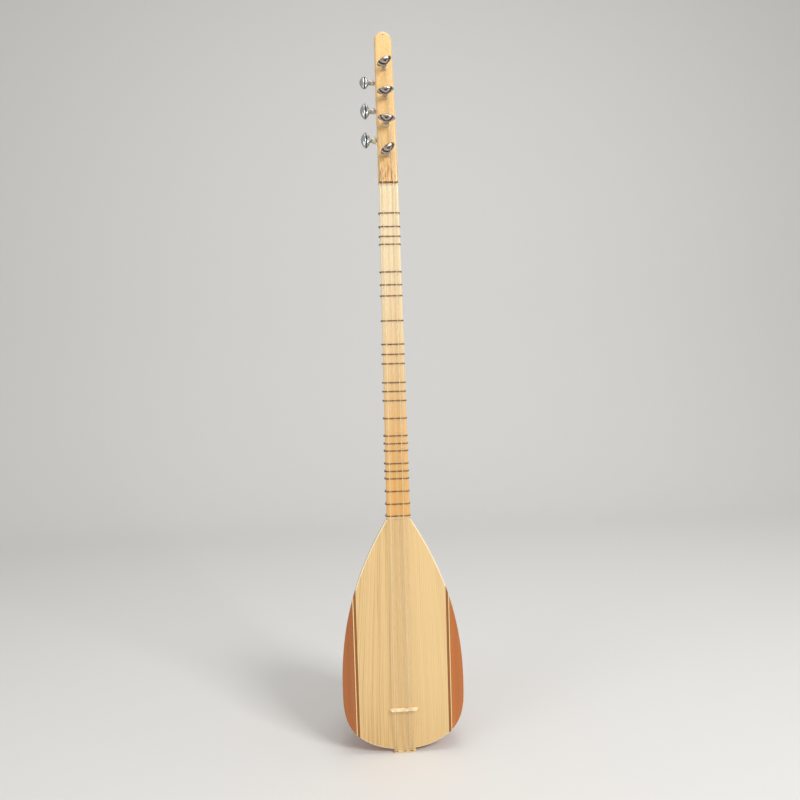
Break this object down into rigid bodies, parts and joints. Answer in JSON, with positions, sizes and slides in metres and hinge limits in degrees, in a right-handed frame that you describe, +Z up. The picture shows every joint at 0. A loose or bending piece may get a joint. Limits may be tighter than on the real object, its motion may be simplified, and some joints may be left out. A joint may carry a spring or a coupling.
{
  "type": "long-necked lute",
  "caption": "Long-necked fretted lute with a ribbed pear-shaped bowl, flat soundboard with darker wings, tied movable frets, tilted peg head, front and side pegs, bridge and tail block.",
  "frame": {"origin": "middle of the flat bottom face of the string holder at the tail", "axes": "+Z up the neck from the tail to the peg head, -Y out of the soundboard towards the player's right hand, +X to the right of someone facing the soundboard"},
  "size_m": [0.206, 0.1601, 1.2212],
  "materials": {
    "spruce": "quarter-sawn softwood with fine upright grain under clear satin lacquer",
    "wing_wood": "red-brown hardwood under clear satin lacquer",
    "light_inlay": "narrow pale inlay",
    "brown_inlay": "narrow brown inlay",
    "rib_light": "glossy lacquered hardwood rib",
    "rib_dark": "glossy lacquered darker hardwood rib",
    "inside_wood": "plain block wood, sealed",
    "neck_wood": "pale hornbeam under clear gloss lacquer",
    "head_wood": "yellow-orange hardwood under clear gloss lacquer",
    "nut_wood": "dark brown hardwood, satin",
    "pale_wood": "fine pale hardwood, satin",
    "peg_black": "black gloss lacquer over turned and carved wood",
    "fret_nylon": "amber nylon gut, smooth",
    "plain_string": "bright plain steel wire",
    "wound_string": "bronze winding over a steel core"
  },
  "bodies": {
    "lute": {"bowl_rib_1": "rib_light", "bowl_rib_2": "rib_dark", "bowl_rib_3": "rib_light", "bowl_rib_4": "rib_dark", "bowl_rib_5": "rib_light", "bowl_rib_6": "rib_dark", "bowl_rib_7": "rib_light", "brown_line_left": "brown_inlay", "brown_line_right": "brown_inlay", "end_block": "inside_wood", "light_line_left": "light_inlay", "light_line_right": "light_inlay", "neck": "neck_wood", "neck_block": "inside_wood", "nut": "nut_wood", "peg_head": "head_wood", "soundboard": "spruce", "soundboard_wing_left": "wing_wood", "soundboard_wing_right": "wing_wood", "string_bass_plain": "plain_string", "string_bass_wound": "wound_string", "string_holder": "pale_wood", "string_middle_left": "plain_string", "string_middle_right": "plain_string", "string_treble_left": "plain_string", "string_treble_right": "plain_string", "string_treble_wound": "wound_string"},
    "bridge": {"bridge": "pale_wood"},
    "fret_01": {"fret_01": "fret_nylon"},
    "fret_02": {"fret_02": "fret_nylon"},
    "fret_03": {"fret_03": "fret_nylon"},
    "fret_04": {"fret_04": "fret_nylon"},
    "fret_05": {"fret_05": "fret_nylon"},
    "fret_06": {"fret_06": "fret_nylon"},
    "fret_07": {"fret_07": "fret_nylon"},
    "fret_08": {"fret_08": "fret_nylon"},
    "fret_09": {"fret_09": "fret_nylon"},
    "fret_10": {"fret_10": "fret_nylon"},
    "fret_11": {"fret_11": "fret_nylon"},
    "fret_12": {"fret_12": "fret_nylon"},
    "fret_13": {"fret_13": "fret_nylon"},
    "fret_14": {"fret_14": "fret_nylon"},
    "fret_15": {"fret_15": "fret_nylon"},
    "fret_16": {"fret_16": "fret_nylon"},
    "fret_17": {"fret_17": "fret_nylon"},
    "fret_18": {"fret_18": "fret_nylon"},
    "fret_19": {"fret_19": "fret_nylon"},
    "fret_20": {"fret_20": "fret_nylon"},
    "fret_21": {"fret_21": "fret_nylon"},
    "fret_22": {"fret_22": "fret_nylon"},
    "fret_23": {"fret_23": "fret_nylon"},
    "fret_24": {"fret_24": "fret_nylon"},
    "front_peg_1": {"front_peg_1": "peg_black"},
    "front_peg_2": {"front_peg_2": "peg_black"},
    "front_peg_3": {"front_peg_3": "peg_black"},
    "front_peg_4": {"front_peg_4": "peg_black"},
    "side_peg_1": {"side_peg_1": "peg_black"},
    "side_peg_2": {"side_peg_2": "peg_black"},
    "side_peg_3": {"side_peg_3": "peg_black"}
  },
  "joints": [
    {"name": "bridge_place", "type": "slide", "parent": "lute", "child": "bridge", "axis": [0, 0, 1], "range_m": [-0.002, 0.002]},
    {"name": "fret_01_place", "type": "slide", "parent": "lute", "child": "fret_01", "axis": [0, 0, 1], "range_m": [-0.002, 0.002]},
    {"name": "fret_02_place", "type": "slide", "parent": "lute", "child": "fret_02", "axis": [0, 0, 1], "range_m": [-0.002, 0.002]},
    {"name": "fret_03_place", "type": "slide", "parent": "lute", "child": "fret_03", "axis": [0, 0, 1], "range_m": [-0.002, 0.002]},
    {"name": "fret_04_place", "type": "slide", "parent": "lute", "child": "fret_04", "axis": [0, 0, 1], "range_m": [-0.002, 0.002]},
    {"name": "fret_05_place", "type": "slide", "parent": "lute", "child": "fret_05", "axis": [0, 0, 1], "range_m": [-0.002, 0.002]},
    {"name": "fret_06_place", "type": "slide", "parent": "lute", "child": "fret_06", "axis": [0, 0, 1], "range_m": [-0.002, 0.002]},
    {"name": "fret_07_place", "type": "slide", "parent": "lute", "child": "fret_07", "axis": [0, 0, 1], "range_m": [-0.002, 0.002]},
    {"name": "fret_08_place", "type": "slide", "parent": "lute", "child": "fret_08", "axis": [0, 0, 1], "range_m": [-0.002, 0.002]},
    {"name": "fret_09_place", "type": "slide", "parent": "lute", "child": "fret_09", "axis": [0, 0, 1], "range_m": [-0.002, 0.002]},
    {"name": "fret_10_place", "type": "slide", "parent": "lute", "child": "fret_10", "axis": [0, 0, 1], "range_m": [-0.002, 0.002]},
    {"name": "fret_11_place", "type": "slide", "parent": "lute", "child": "fret_11", "axis": [0, 0, 1], "range_m": [-0.002, 0.002]},
    {"name": "fret_12_place", "type": "slide", "parent": "lute", "child": "fret_12", "axis": [0, 0, 1], "range_m": [-0.002, 0.002]},
    {"name": "fret_13_place", "type": "slide", "parent": "lute", "child": "fret_13", "axis": [0, 0, 1], "range_m": [-0.002, 0.002]},
    {"name": "fret_14_place", "type": "slide", "parent": "lute", "child": "fret_14", "axis": [0, 0, 1], "range_m": [-0.002, 0.002]},
    {"name": "fret_15_place", "type": "slide", "parent": "lute", "child": "fret_15", "axis": [0, 0, 1], "range_m": [-0.002, 0.002]},
    {"name": "fret_16_place", "type": "slide", "parent": "lute", "child": "fret_16", "axis": [0, 0, 1], "range_m": [-0.002, 0.002]},
    {"name": "fret_17_place", "type": "slide", "parent": "lute", "child": "fret_17", "axis": [0, 0, 1], "range_m": [-0.002, 0.002]},
    {"name": "fret_18_place", "type": "slide", "parent": "lute", "child": "fret_18", "axis": [0, 0, 1], "range_m": [-0.002, 0.002]},
    {"name": "fret_19_place", "type": "slide", "parent": "lute", "child": "fret_19", "axis": [0, 0, 1], "range_m": [-0.002, 0.002]},
    {"name": "fret_20_place", "type": "slide", "parent": "lute", "child": "fret_20", "axis": [0, 0, 1], "range_m": [-0.002, 0.002]},
    {"name": "fret_21_place", "type": "slide", "parent": "lute", "child": "fret_21", "axis": [0, 0, 1], "range_m": [-0.002, 0.002]},
    {"name": "fret_22_place", "type": "slide", "parent": "lute", "child": "fret_22", "axis": [0, 0, 1], "range_m": [-0.002, 0.002]},
    {"name": "fret_23_place", "type": "slide", "parent": "lute", "child": "fret_23", "axis": [0, 0, 1], "range_m": [-0.002, 0.002]},
    {"name": "fret_24_place", "type": "slide", "parent": "lute", "child": "fret_24", "axis": [0, 0, 1], "range_m": [-0.002, 0.002]},
    {"name": "front_peg_1_turn", "type": "hinge", "parent": "lute", "child": "front_peg_1", "pos_m": [0, 0.00277, 1.00737], "axis": [0, -0.9781, 0.2079], "continuous": true},
    {"name": "front_peg_2_turn", "type": "hinge", "parent": "lute", "child": "front_peg_2", "pos_m": [0, 0.01369, 1.05873], "axis": [0, -0.9781, 0.2079], "continuous": true},
    {"name": "front_peg_3_turn", "type": "hinge", "parent": "lute", "child": "front_peg_3", "pos_m": [0, 0.02375, 1.10607], "axis": [0, -0.9781, 0.2079], "continuous": true},
    {"name": "front_peg_4_turn", "type": "hinge", "parent": "lute", "child": "front_peg_4", "pos_m": [0, 0.03454, 1.15683], "axis": [0, -0.9781, 0.2079], "continuous": true},
    {"name": "side_peg_1_turn", "type": "hinge", "parent": "lute", "child": "side_peg_1", "pos_m": [-0.01574, 0.02036, 1.03482], "axis": [-1, 0, 0], "continuous": true},
    {"name": "side_peg_2_turn", "type": "hinge", "parent": "lute", "child": "side_peg_2", "pos_m": [-0.0154, 0.03107, 1.08519], "axis": [-1, 0, 0], "continuous": true},
    {"name": "side_peg_3_turn", "type": "hinge", "parent": "lute", "child": "side_peg_3", "pos_m": [-0.01506, 0.04178, 1.13556], "axis": [-1, 0, 0], "continuous": true}
  ]
}
